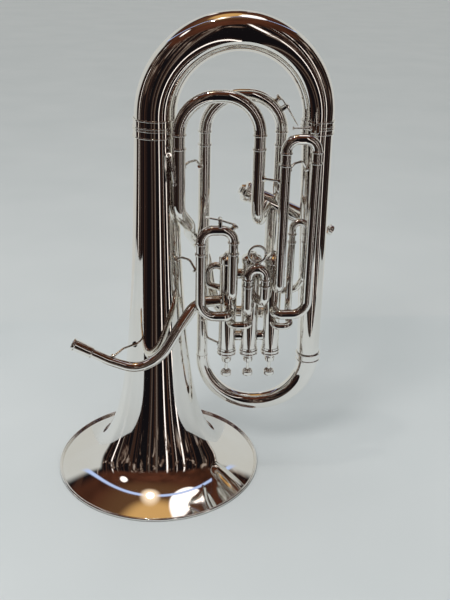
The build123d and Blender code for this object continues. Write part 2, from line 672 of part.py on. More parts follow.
# ---- braces --------------------------------------------------------------------------------
SMALL_XY, FIRST_LEFT, THIRD_LEFT = SMALL_LEG, (58.5, SLIDE_Y), (166.5, SLIDE_Y)
FOURTH_LEFT, FOURTH_RIGHT = (29.7, -28.0), (134.0, -28.0)
first_post = post(*FIRST_LEFT, 270, 357, VALVE.outer)
third_post = post(*THIRD_LEFT, 320, 479, VALVE.outer)
fourth_left_post = post(*FOURTH_LEFT, 430, 495, MAIN.outer)
fourth_right_post = post(*FOURTH_RIGHT, 430, 495, MAIN.outer)
small_post = post(*SMALL_XY, 180, 491, MAIN.outer)
with BuildPart() as branch_body:
    for k in range(5):
        spot = branch_top + (branch_foot - branch_top) * (k / 4)
        with BuildSketch(Plane(origin=spot, z_dir=branch_dir, x_dir=(0, 1, 0))):
            Circle(branch_radius(k / 4))
    loft()
branch_solid = branch_body.part


def arch(start, stop, rise, trims):
    """A brace that springs up from both tubes and is rounded over the top."""
    third = [(stop[k] - start[k]) * 0.3 for k in range(3)]
    high = max(start[2], stop[2]) + rise
    first = (start[0] + third[0], start[1] + third[1], high)
    last = (stop[0] - third[0], stop[1] - third[1], high)
    points = [start, first, last, stop]
    return rod(points, natural_bends(points, 9), BRACE_R, trims)


BRACE_R = 1.7
bell_arch = arch(beside((0, 0), bell_radius(340), FIRST_LEFT, 340),
                 beside(FIRST_LEFT, VALVE.outer, (20, -42), 334), 6, [bell_solid, first_post])
stay_route = [(16.5, -24.2, 486), (17.5, -31.5, 486), (21, -36.5, 468), (24, -34.2, 450)]
bell_stay = rod(stay_route, natural_bends(stay_route, 6), BRACE_R,
                [bell_solid, fourth_left_post], 3.4)
receiver_stay = rod([beside((0, 0), bell_radius(214), (-70, -60), 214), (-48, -50, 219),
                     (-62, -60.5, 212)], [8], BRACE_R,
                    [bell_solid, bent_tube(LEADPIPE[:3], [26], 7.2, 0).part])
group("bell_braces", [bell_arch, bell_stay, receiver_stay])

cross_brace = arch(beside(FOURTH_LEFT, MAIN.outer, SMALL_XY, 470),
                   beside(SMALL_XY, MAIN.outer, FOURTH_LEFT, 464), 4,
                   [fourth_left_post, small_post])
straight_brace = rod([beside(FOURTH_RIGHT, MAIN.outer, THIRD_LEFT, 457),
                      beside(THIRD_LEFT, VALVE.outer, FOURTH_RIGHT, 457)], [], BRACE_R,
                     [fourth_right_post, third_post])
branch_brace = arch(beside(THIRD_LEFT, VALVE.outer, (198, -16), 472),
                    beside((214.8, 0), 20.0, (182, -30), 466), 6, [third_post, branch_solid])
side_valve_x = 206.5
side_valve_z = on_side_valve(side_valve_x).Z
side_valve_brace = rod([(side_valve_x, 14.0, side_valve_z),
                        (side_valve_x, 39.0 - CASING_RS[3], side_valve_z)], [], 2.4,
                       [branch_solid, COLUMNS[3]])
low_brace = rod([beside(SMALL_XY, MAIN.outer, (70, -12), 236), (71, -10, 214),
                 beside(VALVE_XY[0], CASING_RS[0], (71, -10), 208)], [7], BRACE_R,
                [small_post, COLUMNS[0]])
group("tube_braces", [cross_brace, straight_brace, branch_brace, side_valve_brace, low_brace])

# ---- lyre socket and its thumb screw -----------------------------------------------------
LYRE_X, LYRE_Y, LYRE_Z = 205.0, -29.5, 523.0
LYRE_WIDE, LYRE_DEEP, LYRE_HIGH, LYRE_HOLE = 10.0, 9.0, 13.0, 5.2
FIN_BASE, FIN_TIP, FIN_HIGH, FIN_THICK = 6.0, 1.6, 14.5, 1.7
SCREW_R, SCREW_ROD_R, SCREW_REACH = 1.85, 1.2, 27.0
lyre_top = LYRE_Z + LYRE_HIGH / 2
with BuildPart() as lyre_socket:
    with BuildSketch(Plane.XY.offset(LYRE_Z - LYRE_HIGH / 2)):
        with Locations((LYRE_X, LYRE_Y)):
            RectangleRounded(LYRE_WIDE, LYRE_DEEP, 1.6)
            Rectangle(LYRE_HOLE, LYRE_HOLE, mode=Mode.SUBTRACT)
    extrude(amount=LYRE_HIGH)
    with BuildSketch(Plane.XY.offset(LYRE_Z - 5)):
        with Locations((LYRE_X + 2.2, LYRE_Y + 6.6)):
            Rectangle(5, 5.6)
    extrude(amount=10)
    fin_plane = Plane(origin=(LYRE_X, LYRE_Y - LYRE_DEEP / 2, lyre_top), z_dir=(0, 1, 0),
                      x_dir=(1, 0, 0))
    with BuildSketch(fin_plane):
        with BuildLine():
            Polyline((-FIN_BASE / 2, 2.0), (-FIN_BASE / 2, 0), (-0.8, -FIN_HIGH),
                     (FIN_TIP - 0.8, -FIN_HIGH), (FIN_BASE / 2, 0), (FIN_BASE / 2, 2.0),
                     close=True)
        make_face()
    extrude(amount=FIN_THICK)
    with BuildSketch(Plane(origin=(LYRE_X - LYRE_WIDE / 2 - 1, LYRE_Y, LYRE_Z), z_dir=(-1, 0, 0))):
        Circle(SCREW_R + 0.07)
    extrude(amount=-4, mode=Mode.SUBTRACT)
    add(post(BIG_BOW_X, 0, 500, 560, 23.1), mode=Mode.SUBTRACT)
keep("lyre_socket", lyre_socket)

screw_plane = Plane(origin=(LYRE_X - LYRE_HOLE / 2 - 0.1, LYRE_Y, LYRE_Z), z_dir=(-1, 0, 0),
                    x_dir=(0, 1, 0))
with BuildPart() as lyre_thumb_screw:
    add(turned(screw_plane, [
        (0, 0), (SCREW_R, 0), (SCREW_R, 3.4), (3.1, 3.8), (3.1, 5.4), (SCREW_ROD_R, 7.2),
        (SCREW_ROD_R, SCREW_REACH - 2.4), (2.4, SCREW_REACH - 1.8), (2.4, SCREW_REACH - 0.4),
        (0, SCREW_REACH)]).part)
    with BuildSketch(Plane(origin=(screw_plane.origin.X - SCREW_REACH + 1.1, LYRE_Y, LYRE_Z),
                           z_dir=(1, 0, 0), x_dir=(0, 1, 0))):
        SlotOverall(9.0, 2.6)
    extrude(amount=0.8, both=True)
keep("lyre_thumb_screw", lyre_thumb_screw)
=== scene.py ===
import json
import math

import bpy
from mathutils import Matrix, Quaternion, Vector


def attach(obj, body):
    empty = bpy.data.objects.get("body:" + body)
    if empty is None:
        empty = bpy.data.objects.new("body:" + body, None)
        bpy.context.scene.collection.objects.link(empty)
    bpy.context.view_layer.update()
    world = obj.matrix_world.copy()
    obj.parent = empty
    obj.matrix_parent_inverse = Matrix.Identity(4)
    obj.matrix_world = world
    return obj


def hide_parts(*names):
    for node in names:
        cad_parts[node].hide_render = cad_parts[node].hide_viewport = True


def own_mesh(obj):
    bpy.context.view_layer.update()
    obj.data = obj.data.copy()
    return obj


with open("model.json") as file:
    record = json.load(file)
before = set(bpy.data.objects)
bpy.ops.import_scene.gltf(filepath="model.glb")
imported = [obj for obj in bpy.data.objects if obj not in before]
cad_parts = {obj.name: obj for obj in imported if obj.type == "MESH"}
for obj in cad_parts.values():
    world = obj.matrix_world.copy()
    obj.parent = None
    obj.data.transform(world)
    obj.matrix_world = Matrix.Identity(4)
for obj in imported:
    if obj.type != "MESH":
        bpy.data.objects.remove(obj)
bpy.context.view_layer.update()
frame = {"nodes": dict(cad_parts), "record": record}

# Lengths below are the instrument's own, in millimetres; MM turns them into metres.
MM = 0.001
BODY = "instrument_body"

# ---- dimensions repeated from the CAD model --------------------------------------------------
BELL_RIM_R, BELL_LENGTH, FLARE_OFFSET, FLARE_POWER = 152.4, 512.0, 18.0, 0.498
RIM_SLOPE, FLARE_JOIN_Z = -2.7, 34.0
WALL = 0.8
BIG_BOW_X, BIG_BOW_TOP_Z, BIG_BOW_END_Z = 213.6, 638.9, 520.0
BIG_BOW_START_R, BIG_BOW_END_R = 28.1, 20.6
BRANCH_TOP, BRANCH_FOOT, BRANCH_FOOT_R = (213.6, 0, 519.4), (222.6, 0, 178), 15.9
SMALL_LEG, SMALL_BOW_END_Z, SMALL_BOW_END_R = (65.2, 12.0), 176.0, 8.9
MAIN, VALVE, COMP = (7.35, 7.85, 8.4), (5.9, 6.4, 6.95), (4.05, 4.45, 4.95)
VALVE_XY = [(99.0, -20.0), (130.5, -20.0), (162.0, -20.0)]
VALVE_FOOT_Z = 163.3
CASING_RS = [12.4, 12.4, 12.4, 13.5]
BUTTON_FACE, CAP_END, CASING_START = -5.3, 17.5, 35.0
LONG_CASING_END, SHORT_CASING_END = 177.0, 135.0
PEARL_R = 5.6
SIDE_VALVE_FOOT, SIDE_VALVE_END = (248.8, 39.0, 361.8), (121.4, 39.0, 420.9)
CASING_WALL, PISTON_GAP = 1.0, 0.1
KNUCKLE_INSET, KNUCKLE_HEIGHTS = 11.6, (222, 318)
SLIDE_Y = -47.0
RING_RISE = 1.1
RIBBON_SIDES = 24


finish_of = {}              # the finish of each piece made here


# ---- mesh helpers ----------------------------------------------------------------------------
def smooth_object(name, verts, faces, body, node, slot="silver_plate"):
    """A smooth-shaded piece that rides on a body and stands for a CAD node."""
    mesh = bpy.data.meshes.new(name)
    mesh.from_pydata([tuple(c * MM for c in v) for v in verts], [], faces)
    mesh.validate()
    mesh.polygons.foreach_set("use_smooth", [True] * len(mesh.polygons))
    obj = bpy.data.objects.new(name, mesh)
    bpy.context.scene.collection.objects.link(obj)
    weighted = obj.modifiers.new("even_normals", "WEIGHTED_NORMAL")
    weighted.mode = "FACE_AREA"
    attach(obj, body)
    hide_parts(node)
    finish_of[obj.name] = slot
    return obj


def round_corners(points, bends, step=5.0):
    """A route of straight runs joined by tangent arcs, as a dense list of points."""
    corners = [Vector(p) for p in points]
    if isinstance(bends, (int, float)):
        bends = [bends] * (len(corners) - 2)
    route = [corners[0]]
    for before, corner, after, bend in zip(corners, corners[1:], corners[2:], bends):
        a, b = (corner - before).normalized(), (after - corner).normalized()
        turn = a.angle(b)
        if turn < 1e-4:
            route.append(corner)
            continue
        reach = bend * math.tan(turn / 2)
        start = corner - a * reach
        axis = a.cross(b).normalized()
        centre = start + axis.cross(a) * bend
        count = max(3, int(math.degrees(turn) / step) + 1)
        for k in range(count + 1):
            spin = Quaternion(axis, turn * k / count)
            route.append(centre + spin @ (start - centre))
    route.append(corners[-1])
    return densify(route)


def densify(route, longest=12.0):
    dense = [route[0]]
    for a, b in zip(route, route[1:]):
        gap = (b - a).length
        if gap < 1e-6:
            continue
        count = max(1, math.ceil(gap / longest))
        dense.extend(a.lerp(b, k / count) for k in range(1, count + 1))
    return dense


def natural_bends(points, largest):
    corners = [Vector(p) for p in points]
    bends = []
    for before, corner, after in zip(corners, corners[1:], corners[2:]):
        a, b = corner - before, after - corner
        bends.append(min(largest, 0.45 * min(a.length, b.length) / math.tan(a.angle(b) / 2)))
    return bends


def tube_mesh(route, radius_at, bore_at=None, sides=40):
    """A closed pipe wall (or a solid rod) along a dense route."""
    tangents = []
    for k in range(len(route)):
        a, b = route[max(k - 1, 0)], route[min(k + 1, len(route) - 1)]
        tangents.append((b - a).normalized())
    normal = tangents[0].orthogonal().normalized()
    lengths = [0.0]
    for a, b in zip(route, route[1:]):
        lengths.append(lengths[-1] + (b - a).length)
    verts, faces, rings = [], [], []
    frames = []
    for k, (spot, along) in enumerate(zip(route, tangents)):
        if k:
            normal = tangents[k - 1].rotation_difference(along) @ normal
        normal = (normal - along * normal.dot(along)).normalized()
        frames.append((spot, normal.copy(), along.cross(normal), lengths[k] / lengths[-1]))

    def add_ring(entry, radius):
        spot, side, up, _ = entry
        start = len(verts)
        for j in range(sides):
            turn = 2 * math.pi * j / sides
            verts.append(spot + side * (radius * math.cos(turn)) + up * (radius * math.sin(turn)))
        rings.append(start)

    for entry in frames:
        add_ring(entry, radius_at(entry[3]))
    if bore_at:
        for entry in reversed(frames):
            add_ring(entry, bore_at(entry[3]))
    joins = list(zip(rings, rings[1:]))
    if bore_at:
        joins.append((rings[-1], rings[0]))
    for low, high in joins:
        for j in range(sides):
            n = (j + 1) % sides
            faces.append((low + j, low + n, high + n, high + j))
    if not bore_at:
        faces.append(tuple(rings[0] + j for j in reversed(range(sides))))
        faces.append(tuple(rings[-1] + j for j in range(sides)))
    return verts, faces


def soften(outline, radius):
    """Round each corner of a closed outline with a small arc of three points."""
    rounded = []
    count = len(outline)
    for k in range(count):
        before, here, after = (Vector(outline[k - 1]), Vector(outline[k]),
                               Vector(outline[(k + 1) % count]))
        a, b = before - here, after - here
        cut = min(radius, a.length * 0.4, b.length * 0.4)
        if here.x < 0.01 or a.angle(b) > 3.0 or cut < 0.02:
            rounded.append(tuple(here))
            continue
        p, q = here + a.normalized() * cut, here + b.normalized() * cut
        middle = (p + q) * 0.25 + here * 0.5
        rounded += [tuple(p), tuple(middle), tuple(q)]
    return rounded


def ribbon_mesh(route, side, wide_at, thick_at):
    """A bar of rounded-oblong section along a route that is square to side."""
    sides = RIBBON_SIDES
    side = Vector(side).normalized()
    verts, faces = [], []
    last = len(route) - 1
    for k, spot in enumerate(route):
        along = (route[min(k + 1, last)] - route[max(k - 1, 0)]).normalized()
        up = along.cross(side)
        wide, thick = wide_at(k / last), thick_at(k / last)
        for j in range(sides):
            turn = 2 * math.pi * j / sides
            c, s = math.cos(turn), math.sin(turn)
            verts.append(spot + side * (wide * math.copysign(abs(c) ** 0.6, c))
                         + up * (thick * math.copysign(abs(s) ** 0.6, s)))
    for k in range(last):
        for j in range(sides):
            n = (j + 1) % sides
            faces.append((k * sides + j, k * sides + n, (k + 1) * sides + n, (k + 1) * sides + j))
    faces.append(tuple(reversed(range(sides))))
    faces.append(tuple(last * sides + j for j in range(sides)))
    return verts, faces


def lathe_mesh(outline, origin=(0, 0, 0), along=(0, 0, 1), sides=72, soft=0.25, square=0):
    """Turn a closed (radius, height) outline about an axis; points on the axis merge.

    square, when given, turns the circle into a rounded square of that sharpness.
    """
    if soft:
        outline = soften(outline, soft)
    origin, along = Vector(origin), Vector(along).normalized()
    side = along.orthogonal().normalized()
    up = along.cross(side)
    verts, rings, faces = [], [], []
    for radius, height in outline:
        rings.append((len(verts), radius < 0.01))
        spot = origin + along * height
        if radius < 0.01:
            verts.append(spot)
            continue
        for j in range(sides):
            turn = 2 * math.pi * j / sides
            c, s = math.cos(turn), math.sin(turn)
            reach = radius
            if square:
                reach /= (abs(c) ** square + abs(s) ** square) ** (1 / square)
            verts.append(spot + side * (reach * c) + up * (reach * s))
    for (low, low_point), (high, high_point) in zip(rings, rings[1:] + rings[:1]):
        if low_point and high_point:
            continue
        for j in range(sides):
            n = (j + 1) % sides
            if low_point:
                faces.append((low, high + n, high + j))
            elif high_point:
                faces.append((low + j, low + n, high))
            else:
                faces.append((low + j, low + n, high + n, high + j))
    return verts, faces


def joined(meshes):
    verts, faces = [], []
    for more_verts, more_faces in meshes:
        base = len(verts)
        verts.extend(more_verts)
        faces.extend(tuple(base + i for i in face) for face in more_faces)
    return verts, faces


def pipe(points, bends, outer, bore):
    return tube_mesh(round_corners(points, bends), lambda at: outer, lambda at: bore)


def bead(centre, along, inner, rise, length, sides=56):
    """A rounded ferrule ring."""
    half = length / 2
    return lathe_mesh([(inner, -half), (inner + rise * 0.75, -half), (inner + rise, -half * 0.55),
                       (inner + rise, half * 0.55), (inner + rise * 0.75, half), (inner, half)],
                      centre, along, sides, 0.2)


# ---- bell, bows and branch -------------------------------------------------------------------
def horn_law(height):
    return BELL_RIM_R * (FLARE_OFFSET / (height + FLARE_OFFSET)) ** FLARE_POWER


def bell_radius(height):
    """The horn law, with a smooth cubic from its join down to the rim."""
    if height >= FLARE_JOIN_Z:
        return horn_law(height)
    join_r = horn_law(FLARE_JOIN_Z)
    join_slope = -FLARE_POWER * join_r / (FLARE_JOIN_Z + FLARE_OFFSET)
    t = height / FLARE_JOIN_Z
    blend = t * t * (3 - 2 * t)
    from_rim = RIM_SLOPE * FLARE_JOIN_Z * t * (1 - t) ** 2
    from_join = join_slope * FLARE_JOIN_Z * t * t * (t - 1)
    return BELL_RIM_R + (join_r - BELL_RIM_R) * blend + from_rim + from_join


def make_bell():
    heights = [BELL_LENGTH * (k / 90) ** 2.2 for k in range(91)]
    outer = [(bell_radius(z), z) for z in heights]
    inner = [(bell_radius(z + WALL) - WALL, z) for z in reversed(heights)]
    smooth_object("bell_shell", *lathe_mesh(outer + inner, sides=160, soft=0), BODY, "bell")
    wire = [(BELL_RIM_R - 2.0 + 2.0 * math.cos(math.radians(a)),
             2.0 + 2.0 * math.sin(math.radians(a))) for a in range(0, 360, 30)]
    smooth_object("rolled_rim", *lathe_mesh(wire, sides=160, soft=0), BODY, "bell_rim_wire")


def make_body_tubes():
    bow = round_corners([(0, 0, BELL_LENGTH), (0, 0, BIG_BOW_TOP_Z),
                         (BIG_BOW_X, 0, BIG_BOW_TOP_Z), (BIG_BOW_X, 0, BIG_BOW_END_Z)],
                        BIG_BOW_X / 2 - 0.05, 3.0)
    fall = BIG_BOW_END_R - BIG_BOW_START_R
    smooth_object("bottom_bow_tube", *tube_mesh(
        bow, lambda at: BIG_BOW_START_R + fall * at ** 1.15,
        lambda at: BIG_BOW_START_R + fall * at ** 1.15 - WALL, 72), BODY, "bottom_bow")
    branch = densify([Vector(BRANCH_TOP), Vector(BRANCH_FOOT)], 10)
    slim = BRANCH_FOOT_R - BIG_BOW_END_R
    smooth_object("outer_branch_tube", *tube_mesh(
        branch, lambda at: BIG_BOW_END_R + slim * at ** 1.25,
        lambda at: BIG_BOW_END_R + slim * at ** 1.25 - WALL, 64), BODY, "outer_branch")
    big, small = Vector(BRANCH_FOOT) - Vector((0, 0, 0.5)), Vector((*SMALL_LEG, SMALL_BOW_END_Z))
    half = math.hypot(small.x - big.x, small.y - big.y) / 2
    low = SMALL_BOW_END_Z - half
    route = round_corners([big, (big.x, big.y, low), (small.x, small.y, low), small],
                          half - 0.05, 3.0)
    thin = SMALL_BOW_END_R - BRANCH_FOOT_R
    smooth_object("top_bow_tube", *tube_mesh(
        route, lambda at: BRANCH_FOOT_R + thin * at,
        lambda at: BRANCH_FOOT_R + thin * at - WALL, 64), BODY, "top_bow")


def garland(name, centre, along, low, high, length, node, double):
    half, middle = length / 2, (low + high) / 2
    sleeve = lathe_mesh([(low + 0.05, -half), (low + 0.75, -half), (high + 0.75, half),
                         (high + 0.05, half)], centre, along, 88)
    spots = [(-half + 1, low), (half - 1, high)]
    if double:
        spots += [(-1.6, middle), (1.6, middle)]
    axis = Vector(along).normalized()
    beads = [bead(Vector(centre) + axis * height, along, radius + 0.4, 1.5, 2.0, 88)
             for height, radius in spots]
    smooth_object(name, *joined([sleeve] + beads), BODY, node)


# ---- routes of the soldered tubes ------------------------------------------------------------
def port(number, x, y, z):
    ax, ay = VALVE_XY[number - 1]
    reach = math.hypot(x - ax, y - ay)
    depth = CASING_RS[number - 1] - CASING_WALL
    return (ax + (x - ax) * depth / reach, ay + (y - ay) * depth / reach, z)


side_axis = (Vector(SIDE_VALVE_END) - Vector(SIDE_VALVE_FOOT)).normalized()


def side_port(x, start):
    origin = Vector(SIDE_VALVE_FOOT)
    spot = origin + side_axis * ((x - origin.x) / side_axis.x)
    away = (Vector(start) - spot).normalized()
    lean = away.dot(side_axis)
    depth = CASING_RS[3] - CASING_WALL
    return spot + away * (depth / (1 - lean * lean) ** 0.5)


COMP_LEGS = [(184.0, -25.0), (203.5, -25.0)]


def clear_of_pistons(point):
    """Moves a tube's point out of a casing's bore, into its wall.

    Only points are moved. A face between two moved points can still cross the bore: the end
    of third_to_fourth_tube reaches about 1 mm into the fourth piston.
    """
    point = Vector(point)
    for (origin, along, end), casing_r in zip(VALVES, CASING_RS):
        origin, along = Vector(origin), Vector(along)
        height = (point - origin).dot(along)
        foot = origin + along * height
        away = point - foot
        clear_r = casing_r - CASING_WALL + PISTON_GAP
        if CASING_START < height < end and 0.01 < away.length < clear_r:
            return foot + away * (clear_r / away.length)
    return point


def make_soldered_tubes():
    y = SLIDE_Y
    fourth_left = [port(3, 160, 30, 242), (160, 13, 242), (88, 20, 244), (76, 33, 280),
                   (70, 38, 322), (55, 31, 350), (46, 11, 368), (44, -10, 386),
                   (29.7, -28, 410), (29.7, -28, 497)]
    comp_left = [port(3, 165, -44, 247), (165, -44, 247), (186, -44, 247), (*COMP_LEGS[0], 254),
                 (*COMP_LEGS[0], 367.5)]
    comp_right = [port(3, 196, -11, 290), (196, -11, 290), (*COMP_LEGS[1], 312),
                  (*COMP_LEGS[1], 367.5)]
    legs = {
        "first_slide_legs": [
            ([port(1, 101, y, 265), (101, y, 265), (58.5, y, 265), (58.5, y, 359)], [9, 22], VALVE),
            ([port(1, 102, y, 294), (102, y, 294), (102, y, 360)], 9, VALVE)],
        "second_slide_legs": [
            ([port(2, 123.4, y, 270), (123.4, y, 270), (123.4, y, 312)], 9, VALVE),
            ([port(2, 147, y, 285), (147, y, 285), (147, y, 312)], 9, VALVE)],
        "third_slide_legs": [
            ([port(3, 166.5, y, 304), (166.5, y, 304), (166.5, y, 481)], 9, VALVE),
            ([port(3, 164.5, y, 267), (164.5, y, 267), (206, y, 267), (206, y, 484)],
             [9, 20], VALVE)],
        "compensating_slide_legs": [(comp_left, natural_bends(comp_left, 10), COMP),
                                    (comp_right, natural_bends(comp_right, 10), COMP)],
        "main_slide_leg": [
            ([side_port(176, (168, 12, 430)), (168, 12, 430), (168, 12, 493.5)], 16, MAIN)],
        "fourth_slide_valve_leg": [
            ([side_port(157, (136, -24, 392)), (136, -24, 392), (134, -28, 424),
              (134, -28, 497)], [18, 40], MAIN)],
        "fourth_slide_return_tube": [(fourth_left, natural_bends(fourth_left, 26), MAIN)],
        "third_to_fourth_tube": [
            ([port(3, 163, 34, 292), (163, 33, 292), (163, 33, 396)], 13, MAIN)],
        "small_leg": [([(*SMALL_LEG, SMALL_BOW_END_Z + 0.2), (*SMALL_LEG, 493.5)], [], MAIN)],
        "compensating_loops": [
            ([port(1, 104.3, -43.5, 249), (104.3, -43.5, 249), (125.8, -43.5, 249),
              port(2, 125.8, -43.5, 249)], [7.5, 7.5], (5.0, 4.95, 5.6)),
            ([port(1, 71, -2, 294), (71, -2, 294), (71, -2, 323.4), (94, -2, 323.4),
              (94, -2, 262), port(1, 94, -2, 262)], [8, 11.3, 11.3, 6], (4.05, 4.0, 4.95)),
            ([port(2, 126.5, 0, 266), (125.9, 13, 266), (125.9, 13, 326), (136.9, 13, 326),
              (136.9, 13, 302), port(2, 134.5, 0, 302)], [6, 5.4, 5.4, 6], (4.05, 4.0, 4.95))],
        "valve_knuckles": [
            ([(ax + KNUCKLE_INSET, ay, z), (bx - KNUCKLE_INSET, by, z)], [], (6.8, 6.75, 7.4))
            for (ax, ay), (bx, by) in zip(VALVE_XY, VALVE_XY[1:]) for z in KNUCKLE_HEIGHTS],
    }
    for node, tubes in legs.items():
        meshes = [pipe(points, bends, size[2], size[1] + 0.05) for points, bends, size in tubes]
        verts, faces = joined(meshes)
        smooth_object(node + "_pipe", [clear_of_pistons(v) for v in verts], faces, BODY, node)


# ---- tuning slides ---------------------------------------------------------------------------
def make_slide(node, body, xs, y, rings, sleeves, tips, top, bend, size, extra=()):
    (x1, x2), crown = xs, top - size[2]
    bow = pipe([(x1, y, rings[0]), (x1, y, crown), (x2, y, crown), (x2, y, rings[1])], bend,
               size[2], size[0])
    legs = [pipe([(x, y, tip), (x, y, ring_z + 1)], [], size[1], size[0])
            for x, tip, ring_z in zip((x1, x2), tips, rings)]
    feet = [bead((x, y, z), (0, 0, 1), size[1] - 0.3, size[2] - size[1] + 0.3 + RING_RISE, 3.0)
            for x, z in zip((x1, x2), rings)]
    smooth_object(node + "_bow", *joined([bow] + legs + feet + list(extra)), body, node)
    return [bead((x, y, z - 1.5), (0, 0, 1), size[2] + 0.02, RING_RISE, 3.0)
            for x, z in zip((x1, x2), sleeves)]


MAIN_BEND, FIRST_BEND = 47.0, 16.5
MAIN_RIGHT_X, MAIN_Y, MAIN_TOP = 168, 12, 565.5
FIRST_RIGHT_X, FIRST_TOP = 102, 397.9
# Centres of the right-hand bends, where the water keys sit; the angle is up from +X.
MAIN_CORNER = (MAIN_RIGHT_X - MAIN_BEND, MAIN_Y, MAIN_TOP - MAIN[2] - MAIN_BEND)
FIRST_CORNER = (FIRST_RIGHT_X - FIRST_BEND, SLIDE_Y, FIRST_TOP - VALVE[2] - FIRST_BEND)
MAIN_KEY_ANGLE, FIRST_KEY_ANGLE = 47, 52
SECOND_TOP = 342.5
PULL_CENTRE, PULL_R, PULL_WIRE = (134.6, SLIDE_Y, 357.0), 11.6, 1.85


def nipple(corner, angle, surface):
    out = Vector((math.cos(math.radians(angle)), 0, math.sin(math.radians(angle))))
    return lathe_mesh([(2.4, 0), (3.4, 0), (3.4, 4.7), (2.4, 4.7)],
                      Vector(corner) + out * (surface - 0.7), out, 40)


def make_slides():
    rings = make_slide(
        "main_tuning_slide", "main_slide", (SMALL_LEG[0], MAIN_RIGHT_X), MAIN_Y,
        (509.6, 509.6), (493.5, 493.5), (432, 452), MAIN_TOP, MAIN_BEND, MAIN,
        [nipple(MAIN_CORNER, MAIN_KEY_ANGLE, MAIN_BEND + MAIN[2])])
    rings += make_slide("fourth_slide", "fourth_slide_body", (29.7, 134), -28, (513.5, 513.5),
                        (497, 497), (442, 432), 570.8, 48.5, MAIN)
    rings += make_slide(
        "first_slide", "first_slide_body", (58.5, FIRST_RIGHT_X), SLIDE_Y, (372, 374),
        (359, 360), (288, 310), FIRST_TOP, FIRST_BEND, VALVE,
        [nipple(FIRST_CORNER, FIRST_KEY_ANGLE, FIRST_BEND + VALVE[2])])
    loop = [Vector(PULL_CENTRE) + Vector((math.cos(a), 0, math.sin(a))) * PULL_R
            for a in [2 * math.pi * k / 48 for k in range(49)]]
    ring = tube_mesh(loop, lambda at: PULL_WIRE, None, 20)
    crown = SECOND_TOP - VALVE[2]
    boss = lathe_mesh([(0, crown + 6), (5.0, crown + 6), (4.6, crown + 7.4), (3.7, crown + 8.6),
                       (3.4, crown + 9), (0, crown + 9)], (PULL_CENTRE[0], SLIDE_Y, 0))
    rings += make_slide("second_slide", "second_slide_body", (123.4, 147), SLIDE_Y, (320, 320),
                        (312, 312), (283, 297), SECOND_TOP, 11.6, VALVE, [ring, boss])
    rings += make_slide("third_slide", "third_slide_body", (166.5, 206), SLIDE_Y, (495, 497),
                        (481, 484), (330, 330), 519.7, 15.5, VALVE)
    rings += make_slide("compensating_slide", "compensating_slide_body",
                        (COMP_LEGS[0][0], COMP_LEGS[1][0]), COMP_LEGS[0][1], (377.5, 377.5),
                        (367.5, 367.5), (314, 318), 399.5, 9.6, COMP)
    smooth_object("sleeve_end_rings", *joined(rings), BODY, "slide_end_rings")


# ---- valves ----------------------------------------------------------------------------------
VALVES = [((x, y, VALVE_FOOT_Z), (0, 0, 1), LONG_CASING_END) for x, y in VALVE_XY]
VALVES.append((SIDE_VALVE_FOOT, tuple(side_axis), SHORT_CASING_END))
BUTTON = [(0, BUTTON_FACE + 1.1), (PEARL_R, BUTTON_FACE + 1.1), (PEARL_R, BUTTON_FACE + 0.1),
          (6.4, BUTTON_FACE), (7.4, -4.7), (7.9, -3.6), (7.9, 0.6), (7.5, 1.6), (6.9, 1.6),
          (6.4, 0.9), (5.2, -0.9), (3.4, -1.6), (2.6, -0.6), (2.2, 1.2), (2.2, 36.0), (0, 36.0)]
PEARL = [(0, BUTTON_FACE - 0.2), (3.2, BUTTON_FACE - 0.1), (5.2, BUTTON_FACE + 0.2),
         (PEARL_R - 0.05, BUTTON_FACE + 0.5), (PEARL_R - 0.05, BUTTON_FACE + 1.08),
         (0, BUTTON_FACE + 1.08)]


def top_cap(casing_r):
    skirt, rim, inside = casing_r + 0.55, casing_r + 1.3, casing_r - 1.1
    fit = casing_r + 0.02
    return [(2.9, CAP_END), (6.3, CAP_END), (6.9, 18.3), (8.2, 24.5), (casing_r - 0.8, 29.6),
            (rim, 30.6), (rim, 32.4), (skirt, 33.0), (skirt, 35.0), (rim, 35.6), (rim, 37.4),
            (skirt, 38.2), (skirt, 41.0), (fit, 41.0), (fit, 34.98), (inside, 34.98),
            (inside, 30.5), (6.6, 25.5), (2.9, 24.0)]


def bottom_cap(end, casing_r):
    skirt, rim, fit, plug = casing_r + 1.0, casing_r + 1.5, casing_r + 0.02, casing_r - 1.02
    return [(2.0, end - 1.0), (plug, end - 1.0), (plug, end + 0.02), (fit, end + 0.02),
            (fit, end - 6.0), (skirt, end - 6.0), (rim, end - 4.6), (rim, end + 1.6),
            (rim - 1.4, end + 3.4), (rim - 5.5, end + 5.4), (rim - 7.6, end + 8.4),
            (rim - 8.2, end + 10.0), (2.0, end + 10.0)]


SPRING_START, SPRING_SEAT = 142.05, 176.0
SPRING = [(9.05, SPRING_START), (10.55, SPRING_START), (10.55, SPRING_SEAT),
          (9.05, SPRING_SEAT)]


